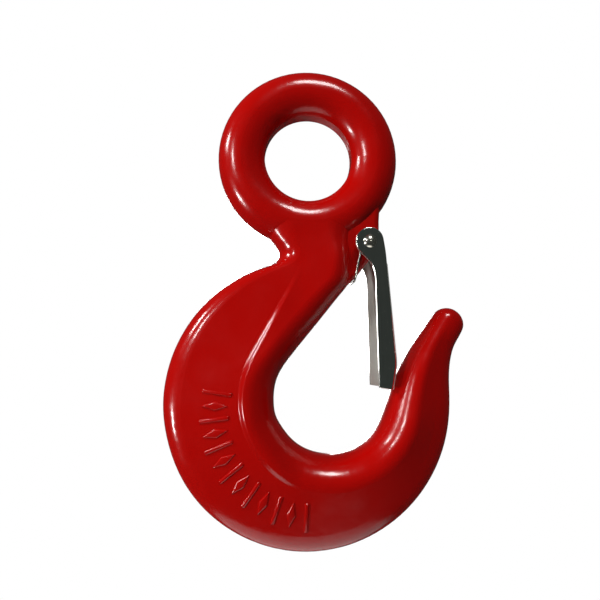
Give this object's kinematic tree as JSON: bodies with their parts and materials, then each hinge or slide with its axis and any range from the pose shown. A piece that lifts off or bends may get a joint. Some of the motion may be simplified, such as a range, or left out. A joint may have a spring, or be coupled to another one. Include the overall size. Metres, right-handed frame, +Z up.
{
  "type": "eye hook with latch",
  "caption": "Forged eye hoist hook with a sprung safety latch that closes the throat between shank and point.",
  "frame": {"origin": "centre of the eye bore, in the middle of its length", "axes": "+Z up along the hook from bowl to eye, +X towards the side of the point, +Y along the eye bore"},
  "size_m": [0.1017, 0.024, 0.1626],
  "materials": {
    "hook_paint": "gloss enamel over forged steel",
    "latch_zinc": "bright zinc plate on pressed sheet steel",
    "rivet_steel": "plated rivet",
    "spring_steel": "drawn spring wire"
  },
  "bodies": {
    "hook": {"hook_body": "hook_paint"},
    "latch_set": {"latch": "latch_zinc", "latch_rivet": "rivet_steel", "latch_spring": "spring_steel"}
  },
  "joints": [
    {"name": "latch_hinge", "type": "hinge", "parent": "hook", "child": "latch_set", "pos_m": [0.02, 0, -0.0299], "axis": [0, 1, 0], "range_deg": [0, 35], "stiffness_Nm_per_rad": 0.08, "springref_deg": -20.05, "deforming": ["latch_spring"]}
  ]
}
